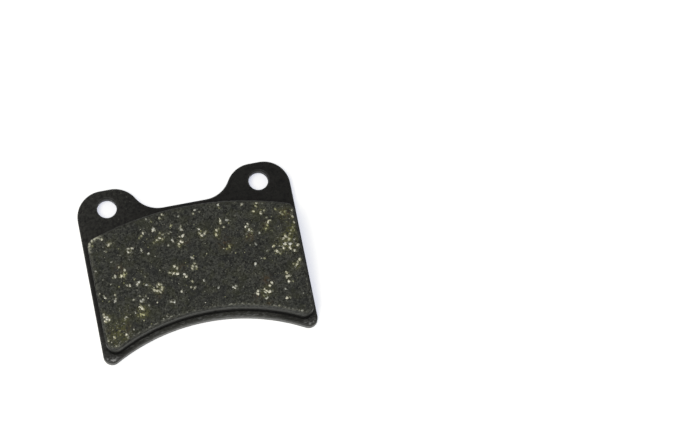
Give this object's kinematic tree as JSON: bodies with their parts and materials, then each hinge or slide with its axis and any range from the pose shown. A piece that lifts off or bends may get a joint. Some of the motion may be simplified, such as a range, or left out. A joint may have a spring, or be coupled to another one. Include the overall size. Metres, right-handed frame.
{
  "type": "bicycle brake pad",
  "caption": "Disc brake pad: black steel backing plate with pin holes in its raised ears and a hollow lower edge, carrying a thick speckled friction block keyed through it.",
  "frame": {"origin": "centre of the footprint, on the back face that the pad lies on", "axes": "+Z out of the friction face, +Y towards the ears, +X along the pad's width"},
  "size_m": [0.0594, 0.0484, 0.009],
  "materials": {
    "plate_paint": "satin black paint over blanked steel, worn at the lower corners",
    "friction_compound": "matte, pitted resin-bonded compound with cream and brassy flecks"
  },
  "bodies": {
    "root": {"backing_plate": "plate_paint", "friction_lining": "friction_compound"}
  },
  "joints": []
}
